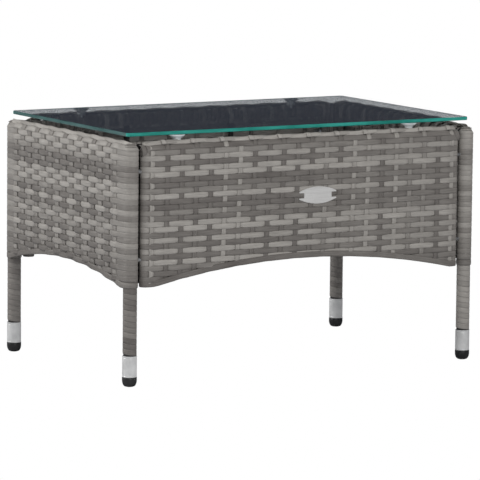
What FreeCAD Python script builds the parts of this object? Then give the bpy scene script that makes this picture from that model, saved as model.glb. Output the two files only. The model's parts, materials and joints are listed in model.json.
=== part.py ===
"""Wicker coffee table: welded end frames and bolted long panels, all woven with flat
plastic cane, and a loose glass top that rests on clear cups.

Millimetres, +Z up, +X along the table, -Y at the front. The origin is on the floor,
under the middle of the table.
"""
import FreeCAD, Part
import Sketcher
import os
import re

Vector = FreeCAD.Vector
Rotation = FreeCAD.Rotation

# Driving dimensions: alias, value in millimetres, what it is.
SIZES = (
    ("leg_span_x", 560, "between leg centres, along the table"),
    ("leg_span_y", 360, "between leg centres, across the table"),
    ("table_height", 360, "floor to the top of the glass"),
    ("tube_radius", 9, "outside of a leg tube"),
    ("tube_wall", 1.2, "wall of every tube"),
    ("rail_radius", 8, "outside of a top rail"),
    ("stile_radius", 7, "outside of a stile of a long panel"),
    ("rod_radius", 4, "arched rods and uprights"),
    ("leg_top", 341, "top of the leg tubes"),
    ("skirt_top", 345, "top of the weave"),
    ("skirt_bottom", 141, "lowest edge of the weave"),
    ("long_rise", 28, "rise of the arch under a long panel"),
    ("end_rise", 22, "rise of the arch under an end"),
    ("weave_thick", 3, "two crossing strips of cane"),
    ("binding_thick", 1.8, "cane round an arched rod"),
    ("stile_cover", 3.2, "cane round a stile"),
    ("wrap_thick", 1.2, "cane wound round a leg"),
    ("panel_gap", 1.5, "between a long panel and a leg's weave"),
    ("field_out_long", 10.6, "legs' centre plane to the face of a long panel's field"),
    ("field_out_end", 11.6, "legs' centre plane to the face of an end's field"),
    ("rod_out_long", 2.6, "legs' centre plane to the rods of a long panel"),
    ("rod_out_end", 4.5, "legs' centre plane to the arched rod of an end"),
    ("upright_x", 90, "centre to an upright of a long panel"),
    ("foot_radius", 10.6, "rim of a foot cap"),
    ("foot_pad_radius", 5, "flat that stands on the floor"),
    ("foot_height", 14, "floor to the sleeve"),
    ("foot_rim", 4, "straight rim of a foot cap"),
    ("plug_length", 20, "plug of a foot cap inside the leg"),
    ("plug_play", 0.1, "play between the plug and the tube"),
    ("sleeve_radius", 10.5, "outside of the metal sleeve"),
    ("sleeve_top", 44, "floor to the top of the sleeve"),
    ("glass_length", 570, "glass along the table"),
    ("glass_width", 358, "glass across the table"),
    ("glass_thick", 5, "toughened glass"),
    ("glass_corner", 5, "corner radius of the glass"),
    ("glass_edge", 0.6, "ground edge of the glass"),
    ("front_left_cup_x", 204, "centre to the front left cup, along the table"),
    ("front_right_cup_x", 183, "centre to the front right cup, along the table"),
    ("rear_left_cup_x", 171, "centre to the rear left cup, along the table"),
    ("rear_right_cup_x", 192, "centre to the rear right cup, along the table"),
    ("cup_y", 176, "centre to a cup, across the table"),
    ("cup_disc", 11.5, "radius of a cup's lip"),
    ("cup_waist", 6.5, "radius of a cup at its base"),
    ("cup_lip", 1, "thickness of a cup's lip"),
    ("cup_dish", 0.7, "depth of the dish in a cup"),
    ("peg_radius", 2.5, "peg under a cup"),
    ("peg_length", 7, "peg under a cup"),
    ("peg_play", 0.1, "play round a peg"),
    ("bolt_high", 305, "floor to the upper bolts"),
    ("bolt_low", 180, "floor to the lower bolts"),
    ("bolt_radius", 3, "shank of a bolt"),
    ("bolt_play", 0.3, "play round a bolt"),
    ("bolt_head_radius", 5, "socket head"),
    ("bolt_head_length", 6, "socket head"),
    ("socket_width", 5, "across the flats of the hexagon socket"),
    ("socket_depth", 3, "depth of the hexagon socket"),
    ("washer_radius", 6.5, "outside of a washer"),
    ("washer_thick", 1.5, "thickness of a washer"),
    ("insert_radius", 4.5, "threaded insert in a leg"),
    ("insert_length", 12, "threaded insert in a leg"),
    ("insert_play", 0.05, "bolt in its insert"),
    ("badge_length", 62, "plate along the table"),
    ("badge_height", 25, "plate at its middle"),
    ("badge_end_height", 11, "plate at its blunt ends"),
    ("badge_thick", 1.2, "plate"),
    ("badge_x", 20, "centre of the table to the plate's centre"),
    ("badge_z", 259, "floor to the plate's centre"),
    ("badge_notch_width", 8, "notch in each end of the plate"),
    ("badge_notch_height", 7.6, "notch in each end of the plate"),
)

ALIASES = {name for name, _, _ in SIZES}
PARTS_FOLDER = "parts"

doc = FreeCAD.newDocument("coffee_table")
sheet = doc.addObject("Spreadsheet::Sheet", "Sizes")
for row, (name, value, meaning) in enumerate(SIZES, start=1):
    sheet.set(f"A{row}", name)
    sheet.set(f"B{row}", str(value))
    sheet.setAlias(f"B{row}", name)
    sheet.set(f"C{row}", meaning)
doc.recompute()

nodes = []


# ---------------------------------------------------------------- shared places

LEG_X = "leg_span_x / 2"
LEG_Y = "leg_span_y / 2"
RAIL_Z = "(skirt_top - rail_radius - weave_thick)"
LEG_COVER = "tube_radius + weave_thick"
PANEL_END = "(leg_span_x / 2 - tube_radius - weave_thick - panel_gap)"
STILE_X = f"({PANEL_END} - stile_cover - stile_radius)"
LONG_HALF = f"({STILE_X} - stile_radius)"
END_HALF = "(leg_span_y / 2 - tube_radius)"
BINDING = "rod_radius + binding_thick"
ARCH_LIFT = f"({BINDING})"
WASHER_SEAT = f"({STILE_X} - stile_radius - stile_cover)"
GLASS_BOTTOM = "(table_height - glass_thick)"
SIDES = {"left": -1, "right": 1}
FACES = {"front": -1, "rear": 1}
BOLT_HEIGHTS = ("bolt_high", "bolt_low")


# ---------------------------------------------------------------- helpers


def formula(text):
    """An expression in which every alias is read from the sheet."""
    def cell(match):
        word = match.group(0)
        return f"Sizes.{word}" if word in ALIASES else word
    return re.sub(r"[a-z_]+", cell, str(text))


def bind(thing, **properties):
    """Ties properties to the sheet. x, y and z are the place of the object."""
    places = {"x": "Placement.Base.x", "y": "Placement.Base.y", "z": "Placement.Base.z"}
    for name, text in properties.items():
        thing.setExpression(places.get(name, name), formula(text))
    return thing


TURNS = {
    "x": Rotation(Vector(0, 1, 0), 90),
    "y": Rotation(Vector(1, 0, 0), -90),
    "z": Rotation(),
}


def bar(axis, radius, length, x="0", y="0", z="0"):
    """A solid round bar that starts at x, y, z and runs along +axis."""
    made = doc.addObject("Part::Cylinder", "bar")
    made.Placement = FreeCAD.Placement(Vector(), TURNS[axis])
    return bind(made, Radius=radius, Height=length, x=x, y=y, z=z)


def along_x(side, radius, length, near, y, z):
    """A bar along X whose end nearest the table's middle is near from the middle."""
    start = near if side == "right" else f"-({near}) - ({length})"
    return bar("x", radius, length, start, y, z)


def block(length, width, height, x, y, z):
    """A box with its lowest corner at x, y, z."""
    made = doc.addObject("Part::Box", "block")
    return bind(made, Length=length, Width=width, Height=height, x=x, y=y, z=z)


def fuse(pieces):
    made = doc.addObject("Part::MultiFuse", "joined")
    made.Shapes = pieces
    return made


def cut(base, tools):
    made = doc.addObject("Part::Cut", "cut")
    made.Base = base
    made.Tool = tools[0] if len(tools) == 1 else fuse(tools)
    return made


def node(name, thing):
    """Names a finished sub-part and keeps it for the export."""
    thing.Label = name
    nodes.append(thing)
    return thing


def arch_radius(half, rise):
    """Radius of the arc over a chord of twice half that rises by rise."""
    return f"(({half}) * ({half}) + {rise} * {rise}) / (2 * {rise})"


def arch_bar(axis, radius, half, rise, across, extra="0", bore=None):
    """A bar bent to the arch of a woven field and bound along its lower edge.

    It runs along axis, x or y, and across places it on the other axis. extra makes both
    ends longer than the arch. bore makes the bar a tube.
    """
    reach = arch_radius(half, rise)
    centre = f"skirt_bottom + {rise} - ({reach})"
    facing = {"x": Rotation(Vector(1, 0, 0), 90), "y": Rotation(Vector(0, 1, 0), 90)}
    other = "y" if axis == "x" else "x"

    def ring(thickness):
        made = doc.addObject("Part::Torus", "ring")
        made.Placement = FreeCAD.Placement(Vector(), facing[axis])
        return bind(made, Radius1=f"{reach} + {ARCH_LIFT}", Radius2=thickness,
                    z=centre, **{other: across})

    whole = cut(ring(radius), [ring(bore)]) if bore else ring(radius)
    deep = f"4 * ({radius})"
    side = f"{across} - {deep} / 2"
    reach_out = f"({half} + {extra})"
    window = {
        "x": (f"2 * {reach_out}", deep, "skirt_top", f"-{reach_out}", side),
        "y": (deep, f"2 * {reach_out}", "skirt_top", side, f"-{reach_out}"),
    }
    made = doc.addObject("Part::MultiCommon", "arch")
    made.Shapes = [whole, block(*window[axis], "0")]
    return made


def arched_plate(axis, span, across, half, rise):
    """A flat field of weave up to the middle of the top rail, with the arch cut out.

    across is the plate's lower face on the other axis. The plate's lower edge ends in
    the binding of the arched rod.
    """
    height = f"{RAIL_Z} - skirt_bottom"
    reach = arch_radius(half, rise)
    centre = f"skirt_bottom + {rise} - ({reach})"
    start = f"{across} - weave_thick"
    round_cut = (f"{reach} + binding_thick", "3 * weave_thick")
    low = f"-({span}) / 2"
    if axis == "x":
        field = block(span, "weave_thick", height, low, across, "skirt_bottom")
        below = bar("y", *round_cut, y=start, z=centre)
    else:
        field = block("weave_thick", span, height, across, low, "skirt_bottom")
        below = bar("x", *round_cut, x=start, z=centre)
    return cut(field, [below])


def body(name):
    return doc.addObject("PartDesign::Body", name)


def origin_plane(owner, role):
    return next(f for f in owner.Origin.OriginFeatures if f.Role == role)


def sketch_on(owner, role, name):
    made = owner.newObject("Sketcher::SketchObject", name)
    made.AttachmentSupport = [(origin_plane(owner, role), "")]
    made.MapMode = "FlatFace"
    return made


def outline(sketch, points):
    """A closed outline of straight edges. points holds pairs of expressions."""
    def number(text):
        return float(value_of(text))
    spots = [Vector(number(a), number(b), 0) for a, b in points]
    count = len(spots)
    for i in range(count):
        sketch.addGeometry(Part.LineSegment(spots[i], spots[(i + 1) % count]), False)
    for i in range(count):
        following = (i + 1) % count
        sketch.addConstraint(Sketcher.Constraint("Coincident", i, 2, following, 1))
    for i, pair in enumerate(points):
        for kind, text, spot in zip(("DistanceX", "DistanceY"), pair, spots[i][:2]):
            if abs(spot) < 1e-9:
                on_axis = -2 if kind == "DistanceX" else -1
                sketch.addConstraint(Sketcher.Constraint("PointOnObject", i, 1, on_axis))
                continue
            side = 1 if spot > 0 else -1
            ends = (-1, 1, i, 1) if side > 0 else (i, 1, -1, 1)
            index = sketch.addConstraint(Sketcher.Constraint(kind, *ends, abs(spot)))
            sketch.renameConstraint(index, f"{'xy'[kind == 'DistanceY']}_{i}")
            place = f"Constraints.{'xy'[kind == 'DistanceY']}_{i}"
            sketch.setExpression(place, formula(text if side > 0 else f"-({text})"))
    return sketch


def value_of(text):
    """The value that an expression has now, worked out on a scratch cell."""
    sheet.set("E1", "=" + re.sub("Sizes[.]", "", formula(text)))
    sheet.recompute()
    return sheet.get("E1")


def turned(name, points):
    """A piece turned on the Z axis. points are pairs of radius and height."""
    owner = body(name)
    profile = outline(sketch_on(owner, "XZ_Plane", "profile"), points)
    spin = owner.newObject("PartDesign::Revolution", "spin")
    spin.Profile = profile
    spin.ReferenceAxis = (profile, ["V_Axis"])
    spin.Angle = 360
    owner.Tip = spin
    return owner


def at_leg(side, face):
    return f"{SIDES[side]} * {LEG_X}", f"{FACES[face]} * {LEG_Y}"


# ---------------------------------------------------------------- legs and feet


def leg_tube(side, face):
    """A leg's steel tube, with two holes in its inner side for the inserts."""
    x, y = at_leg(side, face)
    long = "leg_top - foot_height"
    outer = bar("z", "tube_radius", long, x, y, "foot_height")
    bore = bar("z", "tube_radius - tube_wall", long, x, y, "foot_height")
    holes = [insert_bar(side, y, z, "insert_radius") for z in BOLT_HEIGHTS]
    return node(f"{side}_{face}_leg_tube", cut(outer, [bore, *holes]))


def insert_bar(side, y, z, radius):
    """The space of one insert, from the tube's inner side towards its middle."""
    return along_x(side, radius, "insert_length", f"{LEG_X} - tube_radius", y, z)


def leg_wrap(side, face):
    """The cane wound round the bare stretch of a leg."""
    x, y = at_leg(side, face)
    long = "skirt_bottom - sleeve_top"
    outer = bar("z", "tube_radius + wrap_thick", long, x, y, "sleeve_top")
    bore = bar("z", "tube_radius", long, x, y, "sleeve_top")
    return node(f"{side}_{face}_leg_wrap", cut(outer, [bore]))


def leg_sleeve(side, face):
    """The bright sleeve above a foot, with a small bevel at both ends."""
    bevel = "0.4"
    made = turned(f"{side}_{face}_leg_sleeve", (
        ("tube_radius", "foot_height"),
        (f"sleeve_radius - {bevel}", "foot_height"),
        ("sleeve_radius", f"foot_height + {bevel}"),
        ("sleeve_radius", f"sleeve_top - {bevel}"),
        (f"sleeve_radius - {bevel}", "sleeve_top"),
        ("tube_radius", "sleeve_top"),
    ))
    x, y = at_leg(side, face)
    return node(f"{side}_{face}_leg_sleeve", bind(made, x=x, y=y))


def foot_cap(side, face):
    """A domed plastic foot with a plug inside the tube."""
    owner = body(f"{side}_{face}_foot_cap")
    profile = sketch_on(owner, "XZ_Plane", "profile")
    plug = "tube_radius - tube_wall - plug_play"
    outline(profile, (
        ("0", "0"),
        ("foot_pad_radius", "0"),
        ("foot_radius", "foot_height - foot_rim"),
        ("foot_radius", "foot_height"),
        (plug, "foot_height"),
        (plug, "foot_height + plug_length"),
        ("0", "foot_height + plug_length"),
    ))
    spin = owner.newObject("PartDesign::Revolution", "spin")
    spin.Profile = profile
    spin.ReferenceAxis = (profile, ["V_Axis"])
    spin.Angle = 360
    doc.recompute()
    dome = owner.newObject("PartDesign::Fillet", "dome")
    dome.Base = (spin, [f"Edge{edge_at(spin.Shape, 'foot_radius')}"])
    dome.Radius = 6
    owner.Tip = dome
    x, y = at_leg(side, face)
    return node(f"{side}_{face}_foot_cap", bind(owner, x=x, y=y))


def edge_at(shape, radius):
    """Number of the lowest round edge of that radius."""
    wanted = float(value_of(radius))
    round_edges = [
        (edge.Curve.Center.z, number)
        for number, edge in enumerate(shape.Edges, start=1)
        if isinstance(edge.Curve, Part.Circle) and abs(edge.Curve.Radius - wanted) < 1e-6
    ]
    return min(round_edges)[1]


# ---------------------------------------------------------------- end frames


def end_rail(side):
    """The top rail of an end, its ends shaped to the legs it is welded to."""
    x = f"{SIDES[side]} * {LEG_X}"
    start = f"-({LEG_Y})"
    outer = bar("y", "rail_radius", "leg_span_y", x, start, RAIL_Z)
    bore = bar("y", "rail_radius - tube_wall", "leg_span_y", x, start, RAIL_Z)
    return node(f"{side}_top_rail", cut(outer, [bore, *leg_bars(side)]))


def leg_bars(side):
    """The solid space of both legs of an end."""
    spots = [at_leg(side, face) for face in FACES]
    return [bar("z", "tube_radius", "leg_top", x, y) for x, y in spots]


def end_arch(side, radius, extra, bore=None):
    """The bent rod under an end's weave, or its binding."""
    across = f"{SIDES[side]} * ({LEG_X} + rod_out_end)"
    return arch_bar("y", radius, END_HALF, "end_rise", across, extra, bore)


def end_rod(side):
    """The bent rod of an end, its ends shaped to the legs it is welded to."""
    long = end_arch(side, "rod_radius", "tube_radius")
    return node(f"{side}_arch_rod", cut(long, leg_bars(side)))


def end_weave(side):
    """The woven skin of an end: its field, and the cane round legs, rail and rod."""
    x = f"{SIDES[side]} * {LEG_X}"
    outer_face = f"{LEG_X} + field_out_end"
    low = f"-({outer_face})" if side == "left" else f"{outer_face} - weave_thick"
    field = arched_plate("y", "leg_span_y", low, END_HALF, "end_rise")
    over_rail = bar(
        "y", "rail_radius + weave_thick", "leg_span_y", x, f"-({LEG_Y})", RAIL_Z
    )
    tall = "skirt_top - skirt_bottom"
    round_legs = [
        bar("z", LEG_COVER, tall, *at_leg(side, face), "skirt_bottom") for face in FACES
    ]
    hollow = [
        *leg_bars(side),
        bar("y", "rail_radius", "leg_span_y", x, f"-({LEG_Y})", RAIL_Z),
        end_arch(side, "rod_radius", "tube_radius"),
    ]
    for face in FACES:
        for z in BOLT_HEIGHTS:
            y = at_leg(side, face)[1]
            hollow.append(bolt_hole(side, y, z, "insert_radius + insert_play"))
    skin = cut(fuse([field, over_rail, *round_legs]), hollow)
    binding = end_arch(side, BINDING, "weave_thick", "rod_radius")
    return node(f"{side}_end_weave", fuse([skin, cut(binding, leg_bars(side))]))


def bolt_hole(side, y, z, radius="bolt_radius + bolt_play"):
    """A clear hole along X from inside a panel's stile to the middle of the leg."""
    start = f"({STILE_X} - 2 * stile_radius)"
    return along_x(side, radius, f"{LEG_X} - {start}", start, y, z)


# ---------------------------------------------------------------- long panels


def panel_y(face):
    return f"{FACES[face]} * {LEG_Y}"


def rod_y(face):
    """Centre plane of a long panel's rods, just inside its field of weave."""
    return f"{FACES[face]} * ({LEG_Y} + rod_out_long)"


def panel_rail_bar(face, radius):
    half = f"({STILE_X} + rail_radius)"
    return bar("x", radius, f"2 * {half}", f"-{half}", panel_y(face), RAIL_Z)


def stile_bar(side, face, radius):
    """A stile's space, from the lowest edge of the weave to the rail's middle."""
    x = f"{SIDES[side]} * {STILE_X}"
    long = f"{RAIL_Z} - skirt_bottom"
    return bar("z", radius, long, x, panel_y(face), "skirt_bottom")


def panel_arch(face, radius, extra="0", bore=None):
    """The bent rod under a long panel's weave, or its binding."""
    return arch_bar("x", radius, LONG_HALF, "long_rise", rod_y(face), extra, bore)


def cup_x(side, face):
    return f"{SIDES[side]} * {face}_{side}_cup_x"


def peg_holes(face):
    """Holes in a top rail and its weave for the pegs of two cups."""
    y = f"{FACES[face]} * cup_y"
    return [
        bar("z", "peg_radius + peg_play", "2 * peg_length", cup_x(side, face), y, RAIL_Z)
        for side in SIDES
    ]


def panel_rail(face):
    outer = panel_rail_bar(face, "rail_radius")
    bore = panel_rail_bar(face, "rail_radius - tube_wall")
    return node(f"{face}_top_rail", cut(outer, [bore, *peg_holes(face)]))


def panel_stile(side, face):
    """An upright end of a long panel, welded under the rail and drilled for bolts."""
    outer = stile_bar(side, face, "stile_radius")
    bore = stile_bar(side, face, "stile_radius - tube_wall")
    holes = [bolt_hole(side, panel_y(face), z) for z in BOLT_HEIGHTS]
    rail = panel_rail_bar(face, "rail_radius")
    return node(f"{face}_{side}_stile", cut(outer, [bore, rail, *holes]))


def stile_bars(face):
    """The solid space of both stiles of a long panel."""
    return [stile_bar(side, face, "stile_radius") for side in SIDES]


def panel_rod(face):
    """The bent rod under a long panel, shaped to the stiles it is welded to."""
    long = panel_arch(face, "rod_radius", "stile_radius")
    return node(f"{face}_arch_rod", cut(long, stile_bars(face)))


def upright_bars(face, radius):
    long = f"{RAIL_Z} - skirt_bottom"
    return [
        bar("z", radius, long, f"{s} * upright_x", rod_y(face), "skirt_bottom")
        for s in SIDES.values()
    ]


def panel_uprights(face):
    """Two rods between the arch and the rail."""
    reach = arch_radius(LONG_HALF, "long_rise")
    under = bar(
        "y", f"{reach} + {ARCH_LIFT}", "leg_span_y", y=f"{panel_y(face)} - leg_span_y / 2",
        z=f"skirt_bottom + long_rise - ({reach})",
    )
    arch = panel_arch(face, "rod_radius")
    rail = panel_rail_bar(face, "rail_radius")
    rods = fuse(upright_bars(face, "rod_radius"))
    return node(f"{face}_uprights", cut(rods, [under, arch, rail]))


def panel_weave(face):
    """The woven skin of a long panel: its field, and the cane round stiles, rail and rod."""
    outer = f"{LEG_Y} + field_out_long"
    low = f"-({outer})" if face == "front" else f"{outer} - weave_thick"
    field = arched_plate("x", f"2 * {STILE_X}", low, LONG_HALF, "long_rise")
    over_rail = panel_rail_bar(face, "rail_radius + weave_thick")
    over_stiles = [stile_bar(side, face, "stile_radius + stile_cover") for side in SIDES]
    hollow = [
        panel_rail_bar(face, "rail_radius"),
        *stile_bars(face),
        panel_arch(face, "rod_radius", "stile_radius"),
        *upright_bars(face, "rod_radius"),
        *peg_holes(face),
    ]
    for side in SIDES:
        for z in BOLT_HEIGHTS:
            hollow.append(bolt_hole(side, panel_y(face), z))
    skin = cut(fuse([field, over_rail, *over_stiles]), hollow)
    binding = panel_arch(face, BINDING, "-weave_thick / 4", "rod_radius")
    bound = cut(binding, upright_bars(face, "rod_radius"))
    return node(f"{face}_weave", fuse([skin, bound]))


# ---------------------------------------------------------------- fasteners


def bolt(side, y, z):
    """A socket bolt from the panel's stile into the leg's insert."""
    head_near = f"{WASHER_SEAT} - washer_thick - bolt_head_length"
    shank = f"{LEG_X} - tube_radius + insert_length / 2 - ({WASHER_SEAT} - washer_thick)"
    head = along_x(side, "bolt_head_radius", "bolt_head_length", head_near, y, z)
    rod = along_x(side, "bolt_radius", shank, f"{WASHER_SEAT} - washer_thick", y, z)
    socket = doc.addObject("Part::Prism", "socket")
    socket.Polygon = 6
    socket.Placement = FreeCAD.Placement(Vector(), TURNS["x"])
    start = head_near if side == "right" else f"-({head_near}) - socket_depth"
    bind(socket, Circumradius="socket_width / 1.732", Height="socket_depth",
         x=start, y=y, z=z)
    return cut(fuse([head, rod]), [socket])


def washer(side, y, z):
    near = f"{WASHER_SEAT} - washer_thick"
    disc = along_x(side, "washer_radius", "washer_thick", near, y, z)
    hole = along_x(side, "bolt_radius + bolt_play", "washer_thick", near, y, z)
    return cut(disc, [hole])


def insert(side, y, z):
    bore = insert_bar(side, y, z, "bolt_radius + insert_play")
    return cut(insert_bar(side, y, z, "insert_radius"), [bore])


def group(name, pieces):
    """Identical loose pieces that share one node."""
    made = doc.addObject("Part::Compound", name)
    made.Links = pieces
    return node(name, made)


def fasteners():
    for face in FACES:
        spots = [(side, panel_y(face), z) for side in SIDES for z in BOLT_HEIGHTS]
        group(f"{face}_panel_bolts", [bolt(*spot) for spot in spots])
        group(f"{face}_panel_washers", [washer(*spot) for spot in spots])
    for side in SIDES:
        spots = [(side, panel_y(face), z) for face in FACES for z in BOLT_HEIGHTS]
        group(f"{side}_leg_inserts", [insert(*spot) for spot in spots])


# ---------------------------------------------------------------- glass, cups, badge


def glass_top():
    """The loose glass sheet, with rounded corners and a ground edge."""
    owner = body("glass_top")
    plan = outline(sketch_on(owner, "XY_Plane", "plan"), (
        ("-glass_length / 2", "-glass_width / 2"),
        ("glass_length / 2", "-glass_width / 2"),
        ("glass_length / 2", "glass_width / 2"),
        ("-glass_length / 2", "glass_width / 2"),
    ))
    slab = owner.newObject("PartDesign::Pad", "slab")
    slab.Profile = plan
    slab.setExpression("Length", formula("glass_thick"))
    doc.recompute()
    upright = [
        f"Edge{n}" for n, e in enumerate(slab.Shape.Edges, start=1)
        if abs(e.tangentAt(e.FirstParameter).z) > 0.9
    ]
    corners = owner.newObject("PartDesign::Fillet", "corners")
    corners.Base = (slab, upright)
    corners.setExpression("Radius", formula("glass_corner"))
    doc.recompute()
    rims = [
        f"Face{n}" for n, f in enumerate(corners.Shape.Faces, start=1)
        if abs(f.normalAt(0, 0).z) > 0.9
    ]
    ground = owner.newObject("PartDesign::Chamfer", "ground_edge")
    ground.Base = (corners, rims)
    ground.setExpression("Size", formula("glass_edge"))
    owner.Tip = ground
    return node("glass_top", bind(owner, z=GLASS_BOTTOM))


def cup(side, face):
    """A clear soft cup: a peg for the rail, a waist, and a dished lip for the glass."""
    made = turned(f"{face}_{side}_cup", (
        ("0", "skirt_top - peg_length"),
        ("peg_radius", "skirt_top - peg_length"),
        ("peg_radius", "skirt_top"),
        ("cup_waist", "skirt_top"),
        ("cup_waist", "skirt_top + 2"),
        ("cup_disc", f"{GLASS_BOTTOM} - cup_lip"),
        ("cup_disc", GLASS_BOTTOM),
        ("cup_disc - 1.5", GLASS_BOTTOM),
        ("0", f"{GLASS_BOTTOM} - cup_dish"),
    ))
    y = f"{FACES[face]} * cup_y"
    return node(f"{face}_{side}_cup", bind(made, x=cup_x(side, face), y=y))


def badge():
    """A blank oval plate on the front panel, with blunt ends and a notch in both."""
    half = "badge_length / 2"
    drop = "((badge_height - badge_end_height) / 2)"
    reach = f"({half} * {half} + {drop} * {drop}) / (2 * {drop})"
    back = f"-({LEG_Y} + field_out_long)"
    front = f"{back} - badge_thick"
    shapes = [block("badge_length", "badge_thick", "badge_height",
                    f"badge_x - {half}", front, "badge_z - badge_height / 2")]
    for way in (1, -1):
        shapes.append(bar("y", reach, "badge_thick", "badge_x", front,
                          f"badge_z + {way} * ({reach} - badge_height / 2)"))
    plate = doc.addObject("Part::MultiCommon", "plate")
    plate.Shapes = shapes
    notches = []
    for way in (1, -1):
        near = f"badge_x + {way} * ({half} - badge_notch_width / 2) - badge_notch_width / 2"
        low = "badge_z - badge_notch_height / 2"
        notches.append(block("badge_notch_width", "3 * badge_thick",
                             "badge_notch_height", near, f"{front} - badge_thick", low))
    return node("badge", cut(plate, notches))


# ---------------------------------------------------------------- build and export


def build():
    for side in SIDES:
        for face in FACES:
            leg_tube(side, face)
            leg_wrap(side, face)
            leg_sleeve(side, face)
            foot_cap(side, face)
            panel_stile(side, face)
            cup(side, face)
        end_rail(side)
        end_rod(side)
        end_weave(side)
    for face in FACES:
        panel_rail(face)
        panel_rod(face)
        panel_uprights(face)
        panel_weave(face)
    fasteners()
    glass_top()
    badge()
    doc.recompute()


def check_and_export():
    failed = [o.Label for o in doc.Objects if {"Invalid", "Error"} & set(o.State)]
    if failed:
        raise RuntimeError(f"these objects failed: {failed}")
    os.makedirs(PARTS_FOLDER, exist_ok=True)
    for thing in nodes:
        shape = thing.Shape
        if shape.isNull() or not shape.isValid() or not shape.Solids:
            raise RuntimeError(f"{thing.Label} has no valid solid")
        print(f"{thing.Label}: {len(shape.Solids)} solid(s), {shape.Volume:.0f} mm3")
    for thing in nodes:
        thing.Shape.exportStep(os.path.join(PARTS_FOLDER, thing.Label + ".step"))
    print(len(nodes), "nodes")


build()
check_and_export()
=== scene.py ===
"""Wicker coffee table: the woven look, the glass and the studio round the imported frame.

Lengths in the functions are millimetres, as in a workshop, and a mesh is written in metres.
"""
import json

import bpy
import numpy as np
from bpy.props import FloatProperty, FloatVectorProperty, IntProperty, PointerProperty
from mathutils import Matrix, Vector


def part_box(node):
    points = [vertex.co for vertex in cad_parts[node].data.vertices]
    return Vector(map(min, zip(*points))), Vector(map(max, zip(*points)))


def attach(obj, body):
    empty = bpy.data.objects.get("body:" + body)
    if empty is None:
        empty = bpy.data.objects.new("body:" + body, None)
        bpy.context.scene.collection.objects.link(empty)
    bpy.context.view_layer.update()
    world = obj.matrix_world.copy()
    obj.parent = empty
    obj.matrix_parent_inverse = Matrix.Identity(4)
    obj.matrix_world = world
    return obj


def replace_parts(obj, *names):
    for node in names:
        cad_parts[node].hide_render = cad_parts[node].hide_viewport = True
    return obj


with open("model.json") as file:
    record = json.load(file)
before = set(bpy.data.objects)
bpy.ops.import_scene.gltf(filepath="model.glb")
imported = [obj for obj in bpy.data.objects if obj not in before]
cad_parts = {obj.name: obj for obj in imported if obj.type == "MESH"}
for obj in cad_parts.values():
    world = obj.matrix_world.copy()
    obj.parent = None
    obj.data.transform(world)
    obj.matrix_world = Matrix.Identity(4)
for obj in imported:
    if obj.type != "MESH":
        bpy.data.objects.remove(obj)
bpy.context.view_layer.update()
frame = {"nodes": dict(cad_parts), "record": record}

bl_info = {
    "name": "Wicker coffee table",
    "version": (1, 0, 0),
    "blender": (4, 5, 0),
    "location": "View3D > Sidebar > Table",
    "description": "Weaves flat cane over a small glass-topped table frame",
    "category": "Add Mesh",
}

MM = 0.001
GRAIN_STEP = 61.7    # shifts the grain from strip to strip, so that no two are alike
BASE = "table_base"
PI = np.pi


# ---- the frame's own sizes


def low(node):
    """Lowest corner of a frame node, in millimetres."""
    return np.array(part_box(node)[0]) / MM


def high(node):
    """Highest corner of a frame node, in millimetres."""
    return np.array(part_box(node)[1]) / MM


def centre(node):
    """Middle of a frame node, in millimetres."""
    return (low(node) + high(node)) / 2


def size(node):
    """Length, depth and height of a frame node, in millimetres."""
    return high(node) - low(node)


LEG_X, LEG_Y = centre("right_rear_leg_tube")[:2]
LEG_R = size("right_rear_leg_tube")[0] / 2
SLEEVE_TOP = high("left_front_leg_sleeve")[2]
SKIRT_LOW = high("left_front_leg_wrap")[2]
RAIL_Z = centre("front_top_rail")[2]
RAIL_R = size("front_top_rail")[2] / 2
STILE_X = centre("rear_right_stile")[0]
STILE_R = size("rear_right_stile")[0] / 2
ROD_R = 4.0     # radius of the arched rods
ROD_UP = 5.8    # from a panel's lower edge up to the rod's middle
LONG_CREST = high("front_arch_rod")[2] - ROD_R - ROD_UP
END_CREST = high("left_arch_rod")[2] - ROD_R - ROD_UP
LONG_ROD_OUT = abs(centre("front_arch_rod")[1]) - LEG_Y
END_ROD_OUT = abs(centre("left_arch_rod")[0]) - LEG_X


# ---- small mathematics


def unit(v):
    """v divided by its length, along the last axis."""
    return v / np.maximum(np.linalg.norm(v, axis=-1, keepdims=True), 1e-9)


def ease(a, b, t):
    """0 before a, 1 after b, and 3u^2 - 2u^3 between, with u the share of the way."""
    u = np.clip((t - a) / (b - a), 0, 1)
    return u * u * (3 - 2 * u)


def wander(t, seed, reach):
    """A slow wander round 0: three sines of t with fixed odd wavelengths, shifted by seed."""
    a = np.sin(t / 31.0 + seed * 2.1) + np.sin(t / 17.3 + seed * 4.7)
    return reach * (a + 0.6 * np.sin(t / 71.0 + seed * 1.3)) / 2.6


def turned_away(last, pitch, t):
    """0 on the woven part, whose end stake is at last, and 1 where the rows turn away."""
    return ease(last + 1, last + 0.45 * pitch, np.abs(t))


def chance(count, seed):
    """count fixed random numbers from 0 to 1."""
    return np.random.default_rng(seed).random(count)


def arch_line(half, low_z, crest):
    """The arch as a function: a circle through both ends (half, low_z) and the crest.

    radius = (half^2 + rise^2) / (2 rise), and z = crest - radius + sqrt(radius^2 - t^2).
    """
    rise = crest - low_z
    radius = (half * half + rise * rise) / (2 * rise)

    def z_at(t):
        inside = np.minimum(np.abs(t), half)
        return crest - radius + np.sqrt(radius * radius - inside * inside)

    def t_at(z):
        drop = np.clip(z - crest + radius, 0, radius)
        return np.sqrt(np.maximum(radius * radius - drop * drop, 0))

    return z_at, t_at


# ---- meshes


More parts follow.
